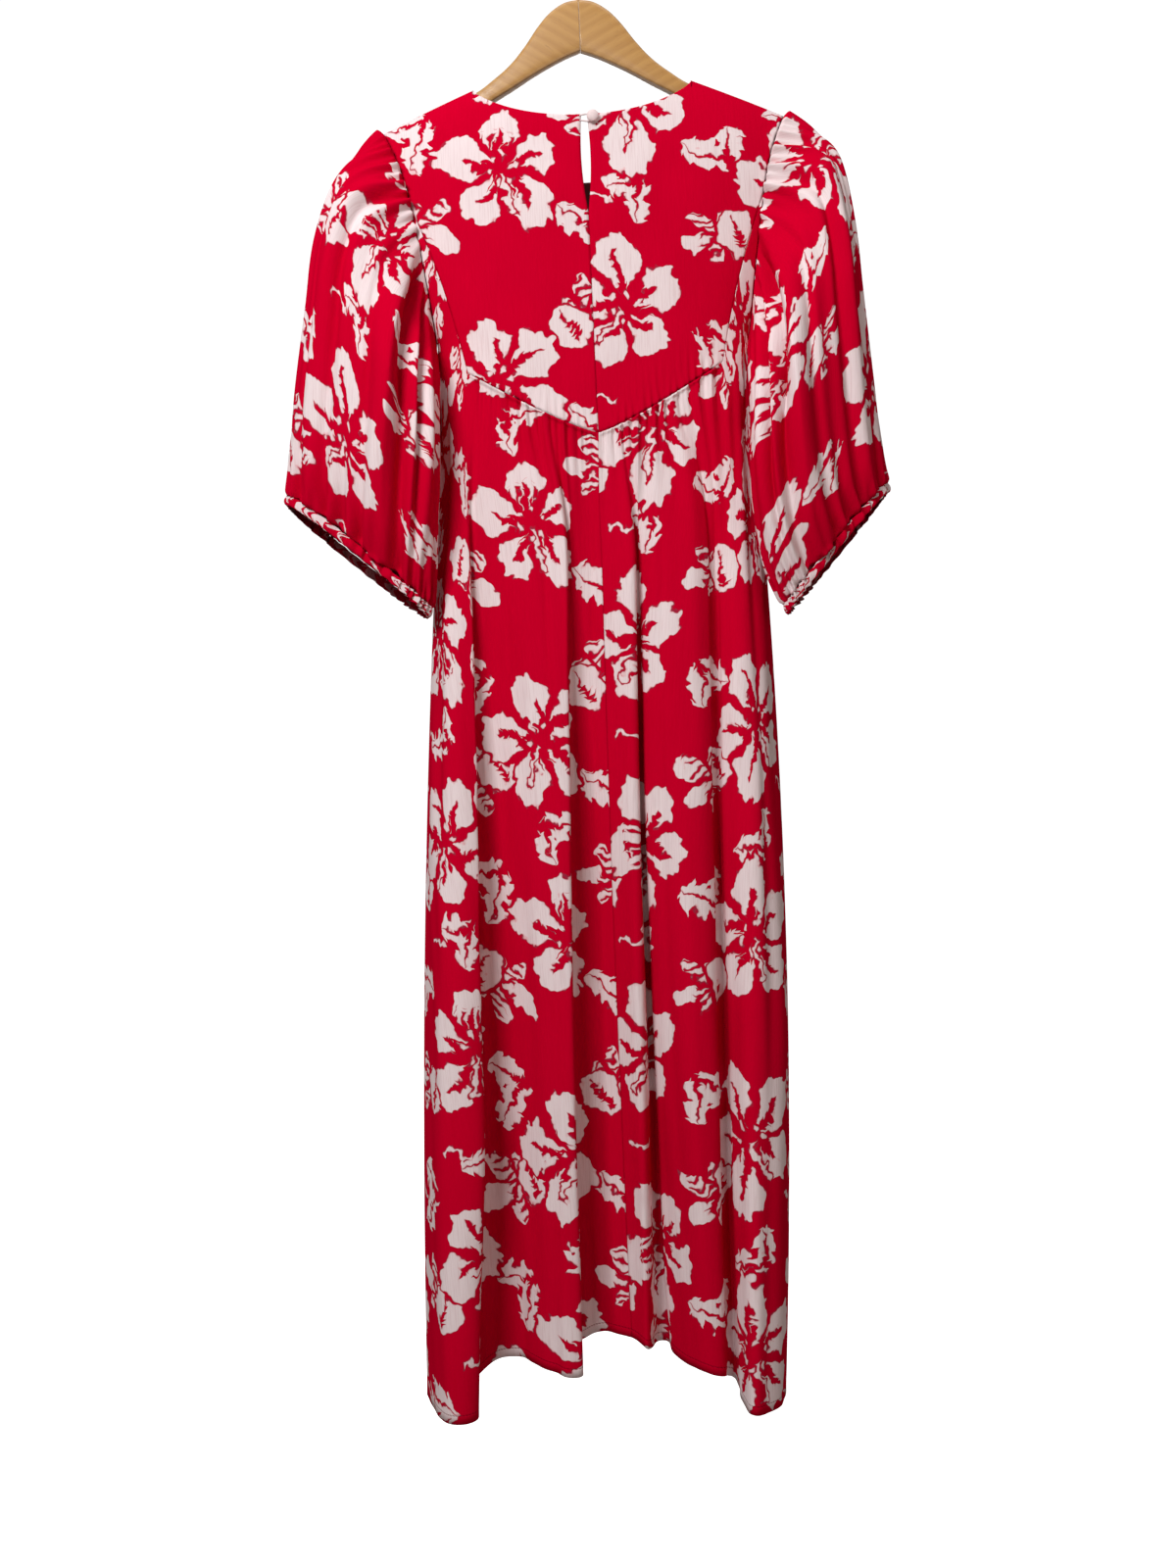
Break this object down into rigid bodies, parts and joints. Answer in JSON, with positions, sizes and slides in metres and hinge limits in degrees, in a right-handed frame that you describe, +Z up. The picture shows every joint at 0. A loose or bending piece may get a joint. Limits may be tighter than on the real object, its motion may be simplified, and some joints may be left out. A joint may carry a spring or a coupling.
{
  "type": "loose back-buttoned dress on a wooden hanger",
  "caption": "Loose long dress with gathered yokes, puffed elbow sleeves and a back slit with a button, hanging on a shaped wooden hanger.",
  "frame": {"origin": "the point inside the top of the hanger's hook where a rail or a peg holds it", "axes": "+X to the right as the garment's back is seen, +Y from the garment's back to its front, +Z up"},
  "size_m": [0.5721, 0.151, 1.3885],
  "materials": {
    "printed_cloth": "crinkled printed viscose with a soft sheen",
    "pale_cloth": "matt white cloth",
    "wood": "clear-varnished pale wood",
    "steel": "bright plated wire"
  },
  "bodies": {
    "root": {"back_yoke_left": "printed_cloth", "back_yoke_right": "printed_cloth", "front_yoke": "printed_cloth", "back_skirt_left": "printed_cloth", "back_skirt_right": "printed_cloth", "front_skirt": "printed_cloth", "sleeve_left": "printed_cloth", "sleeve_right": "printed_cloth", "cuff_left": "printed_cloth", "cuff_right": "printed_cloth", "button": "pale_cloth", "button_loop": "pale_cloth", "hanger_arm_left": "wood", "hanger_arm_right": "wood", "hook": "steel"}
  },
  "joints": []
}
